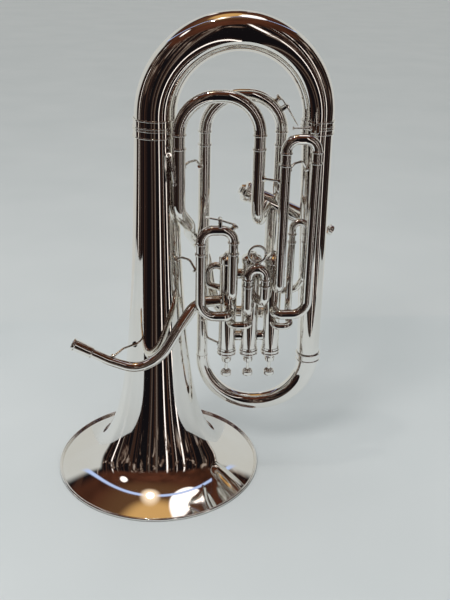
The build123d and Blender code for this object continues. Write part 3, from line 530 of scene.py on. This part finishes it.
def make_valves():
    tops, ends = [], []
    for number, (origin, along, end) in enumerate(VALVES, 1):
        casing_r = CASING_RS[number - 1]
        bore_r = casing_r - CASING_WALL
        casing = lathe_mesh([(bore_r, CASING_START), (casing_r, CASING_START),
                             (casing_r, end), (bore_r, end)], origin, along, 80, 0.15)
        smooth_object(f"casing_{number}_tube", *casing, BODY, f"valve_casing_{number}")
        smooth_object(f"button_{number}_and_stem", *lathe_mesh(BUTTON, origin, along, 56),
                      f"valve_{number}", f"finger_button_{number}")
        smooth_object(f"pearl_{number}_disc", *lathe_mesh(PEARL, origin, along, 56, 0.1),
                      f"valve_{number}", f"button_pearl_{number}", "pearl")
        if end == LONG_CASING_END:
            spring = lathe_mesh(SPRING, origin, along, 56, 0.1)
            spring = smooth_object(f"spring_{number}_sleeve", *spring, BODY,
                                   f"valve_spring_{number}", "spring_steel")
            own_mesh(spring)
        tops.append(lathe_mesh(top_cap(casing_r), origin, along, 80, 0.35))
        ends.append(lathe_mesh(bottom_cap(end, casing_r), origin, along, 80, 0.35))
    smooth_object("top_caps", *joined(tops), BODY, "top_valve_caps")
    smooth_object("bottom_caps", *joined(ends), BODY, "bottom_valve_caps")


LEADPIPE = [(-102.6, -60, 225), (-66, -62.5, 206.5), (-30, -65, 194), (4, -62.5, 211),
            (28, -51, 248), (54, -30, 279), port(1, 57, -31, 279)]


def make_leadpipe():
    route = round_corners(LEADPIPE, natural_bends(LEADPIPE, 60), 2.0)
    smooth_object("leadpipe_tube", *tube_mesh(densify(route, 4), lambda at: 6.3 + 1.9 * at,
                                              lambda at: 5.5 + 1.9 * at, 48), BODY, "leadpipe")
    along = (Vector(LEADPIPE[0]) - Vector(LEADPIPE[1])).normalized()
    smooth_object("receiver_sleeve", *lathe_mesh(
        [(6.45, -14), (7.3, -14), (7.7, -12), (7.9, -2), (8.2, 0), (8.3, 12), (8.9, 13),
         (9.1, 15), (8.3, 16.4), (6.35, 16.4), (6.35, 0.05), (6.75, 0.05), (6.75, -12),
         (6.45, -12)], LEADPIPE[0], along, 64, 0.3),
        BODY, "mouthpiece_receiver")


# ---- water keys and lyre holder --------------------------------------------------------------
def make_water_key(slide, slide_body, corner, angle, surface, pivot, touch, foot_dir, foot_long):
    """Pad cup, rocking lever with its touch, and the saddle with its pin."""
    corner, pivot, touch = Vector(corner), Vector(pivot), Vector(touch)
    out = Vector((math.cos(math.radians(angle)), 0, math.sin(math.radians(angle))))
    seat = corner + out * (surface + 4.0)
    across = Vector((0, 1, 0))
    cup = lathe_mesh([(0, 1.95), (4.3, 1.95), (4.3, 0.8), (5.2, 0.8), (5.2, 2.4), (4.5, 3.1),
                      (3.3, 3.6), (1.8, 3.9), (0, 4.0)], seat, out, 48, 0.15)
    arm = densify(round_corners([seat + out * 3.0, pivot, touch], 6.0), 1.5)
    lever = ribbon_mesh(arm, across, lambda at: 2.5 - 0.5 * at,
                        lambda at: 1.35 - 0.4 * abs(2 * at - 1))
    barrel = lathe_mesh([(1.05, -4.4), (2.6, -4.4), (2.6, 4.4), (1.05, 4.4)],
                        pivot, across, 40, 0.5)
    reach = (touch - pivot).normalized()
    paddle_route = [touch + reach * (3.98 * math.sin(math.pi * (k / 16 - 0.5))) for k in range(17)]
    paddle = ribbon_mesh(
        paddle_route, across,
        lambda at: 2.0 + 4.0 * math.cos(math.asin(max(-1, min(1, 0.995 * math.sin(
            math.pi * (at - 0.5)))))), lambda at: 0.35 + 0.55 * math.sin(math.pi * at) ** 0.5)
    smooth_object(slide + "_key_lever", *joined([cup, lever, barrel, paddle]), slide + "_key",
                  slide + "_water_key")
    cheeks = []
    for sense in (-1, 1):
        spot = pivot + across * (5.4 * sense)
        cheeks.append(lathe_mesh([(0, -0.7), (2.5, -0.7), (2.8, -0.4), (2.8, 0.3), (2.2, 0.62),
                                  (0, 0.7)], spot, across * sense, 40, 0.15))
        foot = [spot + Vector(foot_dir).normalized() * (foot_long * k / 6) for k in range(7)]
        cheeks.append(ribbon_mesh(foot, across, lambda at: 0.68, lambda at: 2.3))
    pin = lathe_mesh([(0, -6.4), (0.8, -6.2), (1.0, -5.8), (1.0, 5.8), (0.8, 6.2), (0, 6.4)],
                     pivot, across, 28, 0.1)
    smooth_object(slide + "_key_saddle", *joined(cheeks + [pin]), slide_body,
                  slide + "_water_key_saddle")


def make_water_keys():
    pivot = Vector((173, MAIN_Y, 543.5))
    make_water_key("main", "main_slide", MAIN_CORNER, MAIN_KEY_ANGLE, MAIN_BEND + MAIN[2], pivot,
                   (187.5, MAIN_Y, 520), Vector(MAIN_CORNER) - pivot, 8.7)
    make_water_key("first", "first_slide_body", FIRST_CORNER, FIRST_KEY_ANGLE,
                   FIRST_BEND + VALVE[2], (83.5, SLIDE_Y, 405.5), (65.5, SLIDE_Y, 409),
                   (0, 0, -1), 10.6)


LYRE = Vector((205.0, -29.5, 523.0))


def make_lyre_holder():
    block = lathe_mesh([(2.6, -6.5), (4.2, -6.5), (4.5, -5.6), (4.45, 0), (4.5, 5.6), (4.2, 6.5),
                        (2.6, 6.5)], LYRE, (0, 0, 1), 96, 0.3, square=7)
    lug = lathe_mesh([(0, -5), (2.1, -5), (2.5, -4.4), (2.5, 4.4), (2.1, 5), (0, 5)],
                     LYRE + Vector((2.2, 5.9, 0)), (0, 0, 1), 48, 0.2, square=6)
    root = LYRE + Vector((-0.4, -3.6, 4.5))
    fin = ribbon_mesh([root + Vector((-0.5 * k / 12, 0, 16.3 * k / 12)) for k in range(13)],
                      (1, 0, 0), lambda at: 3.0 - 2.2 * at ** 0.8, lambda at: 0.82 - 0.3 * at)
    smooth_object("lyre_block_and_fin", *joined([block, lug, fin]), BODY, "lyre_socket")
    start = LYRE - Vector((2.7, 0, 0))
    screw = lathe_mesh([(0, 0), (1.85, 0), (1.85, 3.4), (3.1, 3.8), (3.1, 5.4), (2.0, 6.4),
                        (1.2, 7.2), (1.2, 24.6), (1.6, 25.0), (2.4, 25.2), (2.4, 26.6), (1.6, 26.9),
                        (0, 27.0)], start, (-1, 0, 0), 40, 0.2)
    grip = start - Vector((25.9, 0, 0))
    wing = ribbon_mesh([grip + Vector((0, 0.36 * k - 4.4, 0)) for k in range(25)],
                       (0, 0, 1), lambda at: 0.5 + 0.75 * math.sin(math.pi * at) ** 0.5,
                       lambda at: 0.7)
    smooth_object("lyre_screw_and_grip", *joined([screw, wing]), "lyre_screw",
                  "lyre_thumb_screw")


make_bell()
make_body_tubes()
branch_along = Vector(BRANCH_FOOT) - Vector(BRANCH_TOP)
garland("bell_garland", (0, 0, 518), (0, 0, 1), 28.6, 28.2, 24, "bell_bow_ferrule", True)
garland("branch_garland", (BIG_BOW_X, 0, BIG_BOW_END_Z), (0, 0, 1), 21.0, 21.0, 18,
        "bow_branch_ferrule", True)
garland("top_bow_garland", BRANCH_FOOT, branch_along, 16.4, 16.3, 12, "top_bow_ferrule", False)
make_soldered_tubes()
make_slides()
make_valves()
make_leadpipe()
make_water_keys()
make_lyre_holder()


# ---- materials -------------------------------------------------------------------------------
class Nodes:
    """A small helper round one material's node tree."""

    def __init__(self, name):
        self.material = bpy.data.materials.new(name)
        self.material.use_nodes = True
        self.tree = self.material.node_tree
        self.shader = self.tree.nodes["Principled BSDF"]
        self.where = self.add("ShaderNodeTexCoord").outputs["Object"]

    def add(self, kind, **sockets):
        node = self.tree.nodes.new(kind)
        for socket, value in sockets.items():
            node.inputs[socket].default_value = value
        return node

    def link(self, source, target):
        self.tree.links.new(source, target)

    def noise(self, scale, detail=4.0, rough=0.55):
        node = self.add("ShaderNodeTexNoise", Scale=scale, Detail=detail, Roughness=rough)
        self.link(self.where, node.inputs["Vector"])
        return node.outputs["Fac"]

    def ramp(self, source, stops):
        node = self.add("ShaderNodeValToRGB")
        ends = node.color_ramp.elements
        ends[0].position, ends[0].color = stops[0][0], stops[0][1]
        ends[1].position, ends[1].color = stops[-1][0], stops[-1][1]
        for position, colour in stops[1:-1]:
            ends.new(position).color = colour
        self.link(source, node.inputs["Fac"])
        return node.outputs["Color"]

    def span(self, source, low, high):
        node = self.add("ShaderNodeMapRange")
        node.inputs["To Min"].default_value = low
        node.inputs["To Max"].default_value = high
        self.link(source, node.inputs["Value"])
        return node.outputs["Result"]

    def bump(self, source, strength, distance, before=None):
        node = self.add("ShaderNodeBump", Strength=strength, Distance=distance)
        self.link(source, node.inputs["Height"])
        if before:
            self.link(before, node.inputs["Normal"])
        return node.outputs["Normal"]


def polished_metal(name, light, shade, rough_low, rough_high):
    """Polished plate: a faint warm cloud of tarnish, uneven gloss, burnished ripples."""
    m = Nodes(name)
    m.shader.inputs["Metallic"].default_value = 1.0
    cloud = m.noise(9.0, 3.0)
    m.link(m.ramp(cloud, [(0.35, light), (0.75, shade)]), m.shader.inputs["Base Color"])
    m.link(m.span(m.noise(38.0, 5.0), rough_low, rough_high), m.shader.inputs["Roughness"])
    ripple = m.bump(m.noise(14.0, 1.0), 0.10, 0.0006)
    grain = m.bump(m.noise(420.0, 2.0), 0.02, 0.0001, ripple)
    m.link(grain, m.shader.inputs["Normal"])
    return m.material


def cork_material():
    m = Nodes("water_key_cork")
    grains = m.noise(900.0, 6.0, 0.7)
    m.link(m.ramp(grains, [(0.3, (0.16, 0.08, 0.04, 1)), (0.55, (0.5, 0.33, 0.18, 1)),
                           (0.8, (0.66, 0.48, 0.3, 1))]), m.shader.inputs["Base Color"])
    m.shader.inputs["Roughness"].default_value = 0.85
    m.link(m.bump(grains, 0.4, 0.0004), m.shader.inputs["Normal"])
    return m.material


def pearl_material():
    """Mother of pearl: soft drifting bands of cream, rose and green under a clear gloss."""
    m = Nodes("mother_of_pearl")
    drift = m.noise(260.0, 3.0, 0.5)
    m.link(m.ramp(drift, [(0.30, (0.84, 0.80, 0.74, 1)), (0.45, (0.90, 0.78, 0.78, 1)),
                          (0.56, (0.76, 0.86, 0.80, 1)), (0.70, (0.93, 0.92, 0.88, 1))]),
           m.shader.inputs["Base Color"])
    m.link(m.span(m.noise(900.0, 2.0), 0.16, 0.3), m.shader.inputs["Roughness"])
    m.shader.inputs["Coat Weight"].default_value = 0.7
    m.link(m.bump(drift, 0.08, 0.0001), m.shader.inputs["Normal"])
    return m.material


SILVER = polished_metal("silver_plate_polished", (0.95, 0.94, 0.915, 1), (0.90, 0.87, 0.81, 1),
                        0.02, 0.055)
NICKEL = polished_metal("piston_nickel", (0.80, 0.79, 0.76, 1), (0.7, 0.69, 0.66, 1), 0.12, 0.2)
STEEL = polished_metal("spring_wire", (0.62, 0.6, 0.57, 1), (0.45, 0.43, 0.4, 1), 0.2, 0.32)
CORK = cork_material()
PEARL_LOOK = pearl_material()
FINISH = {"silver_plate": SILVER, "nickel_piston": NICKEL, "spring_steel": STEEL, "cork": CORK,
          "pearl": PEARL_LOOK}


def paint(obj, slot):
    obj.data.materials.clear()
    obj.data.materials.append(FINISH[slot])


slot_of = {part["node"]: part["material_slot"] for part in frame["record"]["subparts"]}
for node, obj in frame["nodes"].items():
    paint(obj, slot_of[node])
for name, slot in finish_of.items():
    paint(bpy.data.objects[name], slot)


# ---- floor, room and lights ------------------------------------------------------------------
PALE = [(0.60, 0.63, 0.645, 1), (0.64, 0.665, 0.68, 1)]
TABLE_LOW, TABLE_HIGH, TABLE_Z, FLOOR_REACH = (-1.1, -0.41), (1.1, 0.5), 0.0002, 60


def flat_sheet(name, low, high, height):
    mesh = bpy.data.meshes.new(name)
    mesh.from_pydata([(low[0], low[1], height), (high[0], low[1], height),
                      (high[0], high[1], height), (low[0], high[1], height)], [], [(0, 1, 2, 3)])
    sheet = bpy.data.objects.new(name, mesh)
    bpy.context.scene.collection.objects.link(sheet)
    m = Nodes(name)
    m.link(m.ramp(m.noise(3.0, 2.0), [(0.3, PALE[0]), (0.7, PALE[1])]),
           m.shader.inputs["Base Color"])
    m.shader.inputs["Roughness"].default_value = 0.38
    sheet.data.materials.append(m.material)
    return sheet


def make_floor():
    """A wide pale floor; the plate mirrors only the table's worth of it round the instrument.

    From low side angles the table's outline shows on the floor.
    """
    floor = flat_sheet("floor", (-FLOOR_REACH,) * 2, (FLOOR_REACH,) * 2, 0)
    floor.visible_glossy = False
    table = flat_sheet("mirrored_table", TABLE_LOW, TABLE_HIGH, TABLE_Z)
    table.visible_camera = table.visible_shadow = table.visible_diffuse = False


class Room(Nodes):
    """The surroundings that the plate mirrors, painted by direction in the world's nodes."""

    def __init__(self):
        world = bpy.data.worlds.new("room")
        bpy.context.scene.world = world
        world.use_nodes = True
        self.tree = world.node_tree
        self.shader = self.tree.nodes["Background"]
        self.where = self.add("ShaderNodeTexCoord").outputs["Generated"]
        split = self.add("ShaderNodeSeparateXYZ")
        self.link(self.where, split.inputs[0])
        self.height = split.outputs["Z"]
        turn = self.add("ShaderNodeMath")
        turn.operation = "ARCTAN2"
        self.link(split.outputs["X"], turn.inputs[0])
        self.link(split.outputs["Y"], turn.inputs[1])
        self.turn = turn.outputs[0]

    def streaks(self, scale, seed, stops):
        """Bands that run up and down, as a noise of the compass direction alone."""
        node = self.add("ShaderNodeTexNoise", Scale=scale, Detail=3.0, Roughness=0.6)
        node.noise_dimensions = "1D"
        shifted = self.math("ADD", self.turn, seed)
        self.link(shifted, node.inputs["W"])
        return self.ramp(node.outputs["Fac"], stops)

    def math(self, operation, first, second):
        node = self.add("ShaderNodeMath")
        node.operation = operation
        self.link(first, node.inputs[0])
        node.inputs[1].default_value = second
        return node.outputs[0]

    def mask(self, source, low, high):
        node = self.add("ShaderNodeMapRange")
        node.interpolation_type = "SMOOTHSTEP"
        node.inputs["From Min"].default_value = low
        node.inputs["From Max"].default_value = high
        self.link(source, node.inputs["Value"])
        return node.outputs["Result"]

    def nearness(self, direction):
        """The cosine of the angle to a direction."""
        node = self.add("ShaderNodeVectorMath")
        node.operation = "DOT_PRODUCT"
        self.link(self.where, node.inputs[0])
        node.inputs[1].default_value = Vector(direction).normalized()
        return node.outputs["Value"]

    def toward(self, direction, wide, narrow):
        """1 near a direction, fading to 0; wide and narrow are angles in degrees."""
        return self.mask(self.nearness(direction), math.cos(math.radians(wide)),
                         math.cos(math.radians(narrow)))

    def strip(self, direction, radius, thickness):
        """A light line bent round a direction, at a radius and of a thickness in degrees."""
        offset = self.math("SUBTRACT", self.nearness(direction),
                           math.cos(math.radians(radius)))
        away = self.math("ABSOLUTE", offset, 0)
        edge = math.sin(math.radians(radius)) * math.radians(thickness)
        line = self.mask(away, 1.6 * edge, 0.5 * edge)
        return self.both(line, self.mask(self.height, 0.50, 0.58))

    def both(self, first, second):
        node = self.add("ShaderNodeMath")
        node.operation = "MULTIPLY"
        self.link(first, node.inputs[0])
        self.link(second, node.inputs[1])
        return node.outputs[0]

    def clutter(self, scale, flat):
        """Broken patches of furniture and people, drawn out upwards when flat is small."""
        squash = self.add("ShaderNodeVectorMath")
        squash.operation = "MULTIPLY"
        self.link(self.where, squash.inputs[0])
        squash.inputs[1].default_value = (1, 1, flat)
        node = self.add("ShaderNodeTexNoise", Scale=scale, Detail=5.0, Roughness=0.6,
                        Distortion=0.6)
        self.link(squash.outputs["Vector"], node.inputs["Vector"])
        return node

    def over(self, below, colour, mask):
        node = self.add("ShaderNodeMix")
        node.data_type = "RGBA"
        self.link(below, node.inputs["A"])
        if isinstance(colour, tuple):
            node.inputs["B"].default_value = colour
        else:
            self.link(colour, node.inputs["B"])
        self.link(mask, node.inputs["Factor"])
        return node.outputs["Result"]


def make_room():
    room = Room()
    dark, brown, tan = (0.006, 0.005, 0.006, 1), (0.050, 0.024, 0.016, 1), (0.27, 0.21, 0.17, 1)
    wall, gold, white = (0.56, 0.565, 0.54, 1), (0.62, 0.36, 0.13, 1), (1.5, 1.38, 1.32, 1)
    view = room.streaks(4.6, 3.1, [(0.30, brown), (0.38, dark), (0.52, dark), (0.56, brown),
                                   (0.60, dark), (0.65, tan), (0.68, white)])
    patches = room.clutter(5.5, 0.4)
    shades = room.ramp(patches.outputs["Fac"], [(0.50, dark), (0.56, brown), (0.63, tan),
                                                (0.72, (0.45, 0.40, 0.37, 1))])
    crowd = room.both(room.mask(patches.outputs["Fac"], 0.52, 0.58),
                      room.mask(room.height, -0.12, 0.10))
    view = room.over(view, shades, crowd)
    ceiling = room.ramp(room.noise(2.4, 2.0), [(0.35, (0.038, 0.014, 0.008, 1)),
                                               (0.65, (0.095, 0.032, 0.017, 1))])
    view = room.over(view, ceiling, room.mask(room.height, 0.60, 0.72))
    sideways = room.math("ABSOLUTE", room.turn, 0)
    on_wall = room.both(room.mask(sideways, 1.12, 1.02), room.mask(room.height, 0.62, 0.54))
    view = room.over(view, wall, on_wall)
    view = room.over(view, (0.11, 0.052, 0.024, 1), room.toward((-0.05, 0.12, 0.98), 32, 14))
    view = room.over(view, gold, room.toward((-0.03, 0.24, 0.97), 15.5, 9))
    view = room.over(view, white, room.toward((-0.56, -0.06, 0.83), 5.2, 3.0))
    view = room.over(view, white, room.toward((0.25, 0.11, 0.96), 10.5, 9))
    view = room.over(view, (0.50, 0.62, 0.95, 1), room.strip((0, 0.586, 0.81), 38.5, 0.9))
    lamp = (-0.11, -0.04, 0.99)
    view = room.over(view, (1.1, 0.85, 0.60, 1), room.toward(lamp, 8.0, 1.5))
    view = room.over(view, (4.5, 4.0, 3.2, 1), room.toward(lamp, 3.2, 0.8))
    plain = room.add("ShaderNodeRGB").outputs[0]
    plain.default_value = (0.65, 0.668, 0.655, 1)
    mirrored = room.add("ShaderNodeLightPath").outputs["Is Glossy Ray"]
    room.link(room.over(plain, view, mirrored), room.shader.inputs["Color"])
    room.shader.inputs["Strength"].default_value = 1.0


# name, place, target, size, watts, colour, whether the plate mirrors it (metres)
LIGHTS = [
    ("key_softbox", (-0.9, -1.3, 2.0), (0.05, 0, 0.2), (0.6, 0.6), 17, (1.0, 0.98, 0.95), False),
    ("ceiling_softbox", (0.1, 0.3, 2.4), (0.1, 0.1, 0), (1.8, 1.4), 6, (0.97, 0.99, 1.0), False),
    ("spot_lamp", (-0.234, -0.194, 2.0), (0, 0, 0), (0.05, 0.05), 2.0, (1.0, 0.95, 0.88), True),
]
CAMERA_SPOT = (0.0, -1.0699, 0.7518)
CAMERA_YAW, CAMERA_PITCH, CAMERA_ROLL = 5.16, 24.21, 1.49
SENSOR_WIDTH, LENS = 36.0, 49.2


def add_light(name, spot, target, size, watts, colour, mirrored):
    data = bpy.data.lights.new(name, "AREA")
    data.shape = "RECTANGLE"
    data.size, data.size_y = size
    data.energy = watts
    data.color = colour
    light = bpy.data.objects.new(name, data)
    light.location = spot
    light.visible_glossy = mirrored
    light.rotation_euler = (Vector(target) - Vector(spot)).to_track_quat("-Z", "Y").to_euler()
    bpy.context.scene.collection.objects.link(light)


def make_camera():
    """The viewing place: in front, above, turned a little to the right and rolled a touch."""
    yaw, pitch, roll = map(math.radians, (CAMERA_YAW, CAMERA_PITCH, CAMERA_ROLL))
    look = Vector((math.sin(yaw) * math.cos(pitch), math.cos(yaw) * math.cos(pitch),
                   -math.sin(pitch)))
    level = Vector((math.cos(yaw), -math.sin(yaw), 0))
    upright = level.cross(look)
    right = level * math.cos(roll) + upright * math.sin(roll)
    up = right.cross(look)
    camera = bpy.data.objects.new("camera", bpy.data.cameras.new("camera"))
    axes = Matrix((right, up, -look)).transposed().to_4x4()
    camera.matrix_world = Matrix.Translation(CAMERA_SPOT) @ axes
    camera.data.sensor_width = SENSOR_WIDTH
    camera.data.lens = LENS
    bpy.context.scene.collection.objects.link(camera)
    bpy.context.scene.camera = camera


make_floor()
make_room()
make_camera()
for light in LIGHTS:
    add_light(*light)
bpy.context.scene.view_settings.view_transform = "Standard"

bpy.context.view_layer.update()
